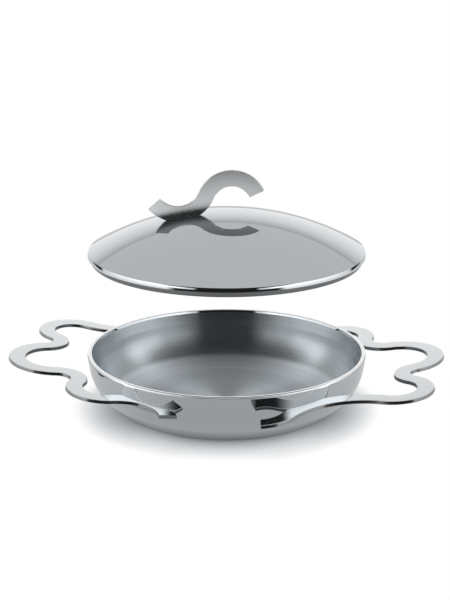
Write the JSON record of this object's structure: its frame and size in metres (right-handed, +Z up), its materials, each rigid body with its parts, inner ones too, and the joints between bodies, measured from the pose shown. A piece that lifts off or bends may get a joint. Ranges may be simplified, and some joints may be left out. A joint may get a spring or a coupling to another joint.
{
  "type": "egg pan",
  "caption": "Shallow round steel egg pan with flat wavy ribbon handles on opposite sides and a domed lid with an S-shaped upright grip.",
  "frame": {"origin": "centre of the flat base, on the surface that the pan stands on", "axes": "+Z up along the pan's axis, +X through the right handle, +Y to the back"},
  "size_m": [0.3138, 0.2302, 0.1741],
  "materials": {
    "mirror_steel": "stainless steel, mirror polished",
    "satin_steel": "stainless steel, satin",
    "core_aluminium": "rolled sheet, hidden",
    "weld_steel": "weld metal, brushed"
  },
  "bodies": {
    "pan": {"pan_outer_ply": "mirror_steel", "pan_core_ply": "core_aluminium", "pan_inner_ply": "satin_steel", "handle_left": "mirror_steel", "handle_right": "mirror_steel", "weld_left_back": "weld_steel", "weld_left_front": "weld_steel", "weld_right_back": "weld_steel", "weld_right_front": "weld_steel"},
    "lid": {"lid_dome": "mirror_steel", "lid_knob": "mirror_steel", "knob_weld": "weld_steel"}
  },
  "joints": [
    {"name": "lid_lift", "type": "slide", "parent": "pan", "child": "lid", "axis": [0, 0, 1], "range_m": [-0.0717, 0.06]}
  ]
}
